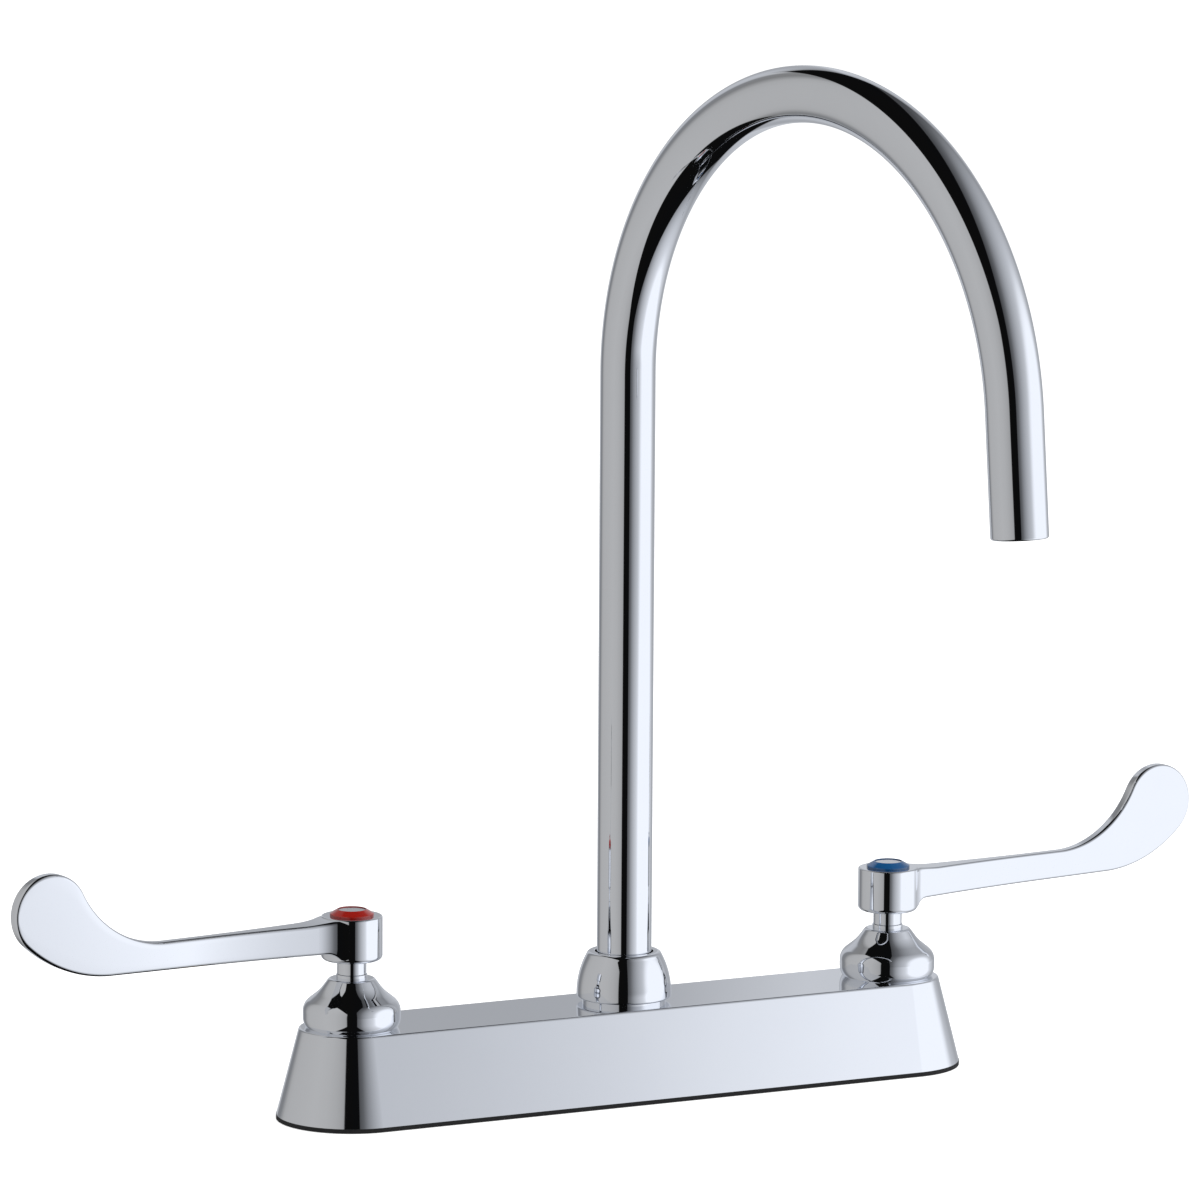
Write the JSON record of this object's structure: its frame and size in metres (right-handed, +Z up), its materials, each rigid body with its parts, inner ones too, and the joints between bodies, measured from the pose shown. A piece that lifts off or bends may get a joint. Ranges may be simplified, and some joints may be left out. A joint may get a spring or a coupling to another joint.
{
  "type": "kitchen faucet",
  "caption": "Deck-mount kitchen faucet with a swivelling gooseneck spout, wrist-blade handles and a long flared deck cover.",
  "frame": {"origin": "centre of the mounting face, on the underside of the base gasket, halfway between the valves", "axes": "+Z up, -Y towards the user and the sink, +X towards the cold valve; the mounting face looks along -Z"},
  "size_m": [0.4584, 0.2366, 0.4054],
  "materials": {
    "chrome": "mirror-polished chrome plate",
    "brass": "machined and cast brass, unplated",
    "steel": "plain zinc-plated steel",
    "silver": "satin silver finish",
    "black_rubber": "matt black nitrile rubber",
    "white_plastic": "moulded acetal, matt",
    "ceramic": "lapped white alumina",
    "red_plastic": "glossy moulded red",
    "blue_plastic": "glossy moulded blue"
  },
  "bodies": {
    "root": {"deck_cover": "chrome", "base_gasket": "black_rubber", "waterway": "brass", "spout_seat_ring": "chrome", "spout_collar": "chrome", "spout_glide_washer": "white_plastic", "hot_shank": "brass", "hot_washer": "steel", "hot_locknut": "brass", "hot_bonnet": "chrome", "hot_stem_bush": "chrome", "hot_cartridge_body": "brass", "hot_cartridge_seal": "black_rubber", "hot_seat_seal": "black_rubber", "hot_fixed_disc": "ceramic", "cold_shank": "brass", "cold_washer": "steel", "cold_locknut": "brass", "cold_bonnet": "chrome", "cold_stem_bush": "chrome", "cold_cartridge_body": "brass", "cold_cartridge_seal": "black_rubber", "cold_seat_seal": "black_rubber", "cold_fixed_disc": "ceramic"},
    "spout": {"spout_tube": "chrome", "spout_adapter": "brass", "spout_seals": "black_rubber", "flow_regulator": "white_plastic"},
    "hot_lever": {"hot_stem": "chrome", "hot_stem_seals": "black_rubber", "hot_moving_disc": "ceramic", "hot_handle": "chrome", "hot_handle_screw": "steel", "hot_index_ring": "red_plastic", "hot_index_cap": "silver"},
    "cold_lever": {"cold_stem": "chrome", "cold_stem_seals": "black_rubber", "cold_moving_disc": "ceramic", "cold_handle": "chrome", "cold_handle_screw": "steel", "cold_index_ring": "blue_plastic", "cold_index_cap": "silver"}
  },
  "joints": [
    {"name": "spout_swivel", "type": "hinge", "parent": "root", "child": "spout", "pos_m": [0, 0, 0.042], "axis": [0, 0, 1], "continuous": true},
    {"name": "hot_handle_turn", "type": "hinge", "parent": "root", "child": "hot_lever", "pos_m": [-0.1016, 0, 0.0538], "axis": [0, 0, 1], "range_deg": [0, 90]},
    {"name": "cold_handle_turn", "type": "hinge", "parent": "root", "child": "cold_lever", "pos_m": [0.1016, 0, 0.0538], "axis": [0, 0, -1], "range_deg": [0, 90]}
  ]
}
